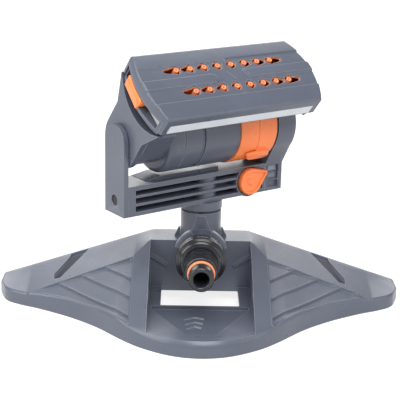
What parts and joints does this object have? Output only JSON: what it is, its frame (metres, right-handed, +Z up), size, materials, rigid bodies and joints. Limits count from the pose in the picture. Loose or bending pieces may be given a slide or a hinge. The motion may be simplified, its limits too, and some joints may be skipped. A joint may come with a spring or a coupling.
{
  "type": "oscillating lawn sprinkler",
  "caption": "Oscillating lawn sprinkler: winged base, swivelling yoke, tilting spray head with range rings, flow knob and width sliders.",
  "frame": {"origin": "on the ground, below the vertical stem that the yoke swivels on", "axes": "+Z up, -Y towards the hose inlet, +X along the wings"},
  "size_m": [0.23, 0.1334, 0.1469],
  "materials": {
    "body_plastic": "satin slate grey moulding",
    "dark_plastic": "satin charcoal moulding",
    "orange_plastic": "semi-gloss orange moulding",
    "orange_rubber": "soft orange rubber",
    "black_rubber": "black rubber",
    "silver_trim": "pale silver insert",
    "inner_plastic": "off-white acetal",
    "screw_steel": "zinc-plated steel"
  },
  "bodies": {
    "base": {"base_shell": "body_plastic", "stem_body": "body_plastic", "swivel_ring": "dark_plastic", "base_screws": "screw_steel", "inlet_nut": "dark_plastic", "inlet_nose": "dark_plastic", "inlet_o_ring": "orange_rubber", "inlet_washer": "black_rubber", "inlet_screen": "inner_plastic"},
    "yoke": {"yoke_beam": "body_plastic", "left_upright": "body_plastic", "left_screw": "screw_steel", "left_pivot_pin": "screw_steel", "right_arm": "body_plastic", "arm_cap": "body_plastic", "cap_screws": "screw_steel", "swivel_tube": "body_plastic", "swivel_o_rings": "black_rubber", "gear_axles": "screw_steel", "trip_spring": "screw_steel"},
    "lever": {"trip_lever": "inner_plastic"},
    "turbine": {"turbine_wheel": "inner_plastic"},
    "idler": {"idler_gear": "inner_plastic"},
    "knob": {"flow_knob": "orange_plastic", "flow_spindle": "inner_plastic"},
    "head": {"left_hub": "body_plastic", "barrel_left": "body_plastic", "barrel_main": "body_plastic", "barrel_cap": "dark_plastic", "output_gear": "inner_plastic", "head_tray": "body_plastic", "top_plate": "body_plastic", "front_trim": "silver_trim", "end_caps": "body_plastic", "scale_plates": "silver_trim", "nozzle_manifold": "dark_plastic"},
    "ring_left": {"range_ring_left": "orange_plastic"},
    "ring_right": {"range_ring_right": "orange_plastic"},
    "slider_left": {"width_slider_left": "orange_plastic"},
    "slider_right": {"width_slider_right": "orange_plastic"},
    "nozzle_front_1": {"nozzle_front_1": "orange_rubber"},
    "nozzle_front_2": {"nozzle_front_2": "orange_rubber"},
    "nozzle_front_3": {"nozzle_front_3": "orange_rubber"},
    "nozzle_front_4": {"nozzle_front_4": "orange_rubber"},
    "nozzle_front_5": {"nozzle_front_5": "orange_rubber"},
    "nozzle_front_6": {"nozzle_front_6": "orange_rubber"},
    "nozzle_front_7": {"nozzle_front_7": "orange_rubber"},
    "nozzle_front_8": {"nozzle_front_8": "orange_rubber"},
    "nozzle_back_1": {"nozzle_back_1": "orange_rubber"},
    "nozzle_back_2": {"nozzle_back_2": "orange_rubber"},
    "nozzle_back_3": {"nozzle_back_3": "orange_rubber"},
    "nozzle_back_4": {"nozzle_back_4": "orange_rubber"},
    "nozzle_back_5": {"nozzle_back_5": "orange_rubber"},
    "nozzle_back_6": {"nozzle_back_6": "orange_rubber"},
    "nozzle_back_7": {"nozzle_back_7": "orange_rubber"},
    "nozzle_back_8": {"nozzle_back_8": "orange_rubber"}
  },
  "joints": [
    {"name": "yoke_swivel", "type": "hinge", "parent": "base", "child": "yoke", "pos_m": [0, 0, 0.05], "axis": [0, 0, 1], "continuous": true},
    {"name": "head_swing", "type": "hinge", "parent": "yoke", "child": "head", "pos_m": [0, 0, 0.0998], "axis": [0.8141, 0.5807, 0], "range_deg": [-83.6, 6.4]},
    {"name": "ring_left_turn", "type": "hinge", "parent": "head", "child": "ring_left", "pos_m": [0, 0, 0.0998], "axis": [0.8141, 0.5807, 0], "range_deg": [-60, 45]},
    {"name": "ring_right_turn", "type": "hinge", "parent": "head", "child": "ring_right", "pos_m": [0, 0, 0.0998], "axis": [0.8141, 0.5807, 0], "range_deg": [-45, 60]},
    {"name": "knob_turn", "type": "hinge", "parent": "yoke", "child": "knob", "pos_m": [0.02688, 0.00812, 0.0676], "axis": [0.5807, -0.8141, 0], "range_deg": [-90, 0]},
    {"name": "lever_trip", "type": "hinge", "parent": "yoke", "child": "lever", "pos_m": [0.03419, 0.02439, 0.1143], "axis": [0.8141, 0.5807, 0], "range_deg": [-10, 10]},
    {"name": "idler_spin", "type": "hinge", "parent": "yoke", "child": "idler", "pos_m": [0.03664, 0.02613, 0.08555], "axis": [0.8141, 0.5807, 0], "range_deg": [-30, 320]},
    {"name": "turbine_spin", "type": "hinge", "parent": "yoke", "child": "turbine", "pos_m": [0.03501, 0.02497, 0.07505], "axis": [0.8141, 0.5807, 0], "range_deg": [-790, 66]},
    {"name": "slider_left_travel", "type": "slide", "parent": "head", "child": "slider_left", "axis": [0.4538, -0.6362, -0.6239], "range_m": [0, 0.0064]},
    {"name": "slider_right_travel", "type": "slide", "parent": "head", "child": "slider_right", "axis": [0.4538, -0.6362, -0.6239], "range_m": [0, 0.0064]},
    {"name": "nozzle_front_1_lean", "type": "hinge", "parent": "head", "child": "nozzle_front_1", "pos_m": [-0.00978, -0.03615, 0.11897], "axis": [-0.4538, 0.6362, 0.6239], "range_deg": [-18.95, 0]},
    {"name": "nozzle_front_2_lean", "type": "hinge", "parent": "head", "child": "nozzle_front_2", "pos_m": [-0.00253, -0.03098, 0.11897], "axis": [-0.4538, 0.6362, 0.6239], "range_deg": [-14.25, 0]},
    {"name": "nozzle_front_3_lean", "type": "hinge", "parent": "head", "child": "nozzle_front_3", "pos_m": [0.00471, -0.02581, 0.11897], "axis": [-0.4538, 0.6362, 0.6239], "range_deg": [-9.35, 0]},
    {"name": "nozzle_front_4_lean", "type": "hinge", "parent": "head", "child": "nozzle_front_4", "pos_m": [0.01196, -0.02064, 0.11897], "axis": [-0.4538, 0.6362, 0.6239], "range_deg": [-4.32, 0]},
    {"name": "nozzle_front_5_lean", "type": "hinge", "parent": "head", "child": "nozzle_front_5", "pos_m": [0.0192, -0.01547, 0.11897], "axis": [-0.4538, 0.6362, 0.6239], "range_deg": [0, 4.32]},
    {"name": "nozzle_front_6_lean", "type": "hinge", "parent": "head", "child": "nozzle_front_6", "pos_m": [0.02645, -0.0103, 0.11897], "axis": [-0.4538, 0.6362, 0.6239], "range_deg": [0, 9.35]},
    {"name": "nozzle_front_7_lean", "type": "hinge", "parent": "head", "child": "nozzle_front_7", "pos_m": [0.0337, -0.00514, 0.11897], "axis": [-0.4538, 0.6362, 0.6239], "range_deg": [0, 14.25]},
    {"name": "nozzle_front_8_lean", "type": "hinge", "parent": "head", "child": "nozzle_front_8", "pos_m": [0.04094, 0.00003, 0.11897], "axis": [-0.4538, 0.6362, 0.6239], "range_deg": [0, 18.95]},
    {"name": "nozzle_back_1_lean", "type": "hinge", "parent": "head", "child": "nozzle_back_1", "pos_m": [-0.02032, -0.02946, 0.12821], "axis": [-0.4538, 0.6362, 0.6239], "range_deg": [-18.95, 0]},
    {"name": "nozzle_back_2_lean", "type": "hinge", "parent": "head", "child": "nozzle_back_2", "pos_m": [-0.01307, -0.02429, 0.12821], "axis": [-0.4538, 0.6362, 0.6239], "range_deg": [-14.25, 0]},
    {"name": "nozzle_back_3_lean", "type": "hinge", "parent": "head", "child": "nozzle_back_3", "pos_m": [-0.00583, -0.01912, 0.12821], "axis": [-0.4538, 0.6362, 0.6239], "range_deg": [-9.35, 0]},
    {"name": "nozzle_back_4_lean", "type": "hinge", "parent": "head", "child": "nozzle_back_4", "pos_m": [0.00142, -0.01395, 0.12821], "axis": [-0.4538, 0.6362, 0.6239], "range_deg": [-4.32, 0]},
    {"name": "nozzle_back_5_lean", "type": "hinge", "parent": "head", "child": "nozzle_back_5", "pos_m": [0.00866, -0.00879, 0.12821], "axis": [-0.4538, 0.6362, 0.6239], "range_deg": [0, 4.32]},
    {"name": "nozzle_back_6_lean", "type": "hinge", "parent": "head", "child": "nozzle_back_6", "pos_m": [0.01591, -0.00362, 0.12821], "axis": [-0.4538, 0.6362, 0.6239], "range_deg": [0, 9.35]},
    {"name": "nozzle_back_7_lean", "type": "hinge", "parent": "head", "child": "nozzle_back_7", "pos_m": [0.02315, 0.00155, 0.12821], "axis": [-0.4538, 0.6362, 0.6239], "range_deg": [0, 14.25]},
    {"name": "nozzle_back_8_lean", "type": "hinge", "parent": "head", "child": "nozzle_back_8", "pos_m": [0.0304, 0.00672, 0.12821], "axis": [-0.4538, 0.6362, 0.6239], "range_deg": [0, 18.95]}
  ],
  "couplings": [
    {"joint": "idler_spin", "follows": "head_swing", "ratio": -3.75},
    {"joint": "turbine_spin", "follows": "head_swing", "ratio": 9.375},
    {"joint": "nozzle_front_1_lean", "follows": "slider_left_travel", "rad_per_m": -50.594},
    {"joint": "nozzle_front_2_lean", "follows": "slider_left_travel", "rad_per_m": -37.774},
    {"joint": "nozzle_front_3_lean", "follows": "slider_left_travel", "rad_per_m": -24.414},
    {"joint": "nozzle_front_4_lean", "follows": "slider_left_travel", "rad_per_m": -10.685},
    {"joint": "nozzle_front_5_lean", "follows": "slider_right_travel", "rad_per_m": 10.685},
    {"joint": "nozzle_front_6_lean", "follows": "slider_right_travel", "rad_per_m": 24.414},
    {"joint": "nozzle_front_7_lean", "follows": "slider_right_travel", "rad_per_m": 37.774},
    {"joint": "nozzle_front_8_lean", "follows": "slider_right_travel", "rad_per_m": 50.594},
    {"joint": "nozzle_back_1_lean", "follows": "slider_left_travel", "rad_per_m": -50.594},
    {"joint": "nozzle_back_2_lean", "follows": "slider_left_travel", "rad_per_m": -37.774},
    {"joint": "nozzle_back_3_lean", "follows": "slider_left_travel", "rad_per_m": -24.414},
    {"joint": "nozzle_back_4_lean", "follows": "slider_left_travel", "rad_per_m": -10.685},
    {"joint": "nozzle_back_5_lean", "follows": "slider_right_travel", "rad_per_m": 10.685},
    {"joint": "nozzle_back_6_lean", "follows": "slider_right_travel", "rad_per_m": 24.414},
    {"joint": "nozzle_back_7_lean", "follows": "slider_right_travel", "rad_per_m": 37.774},
    {"joint": "nozzle_back_8_lean", "follows": "slider_right_travel", "rad_per_m": 50.594}
  ]
}
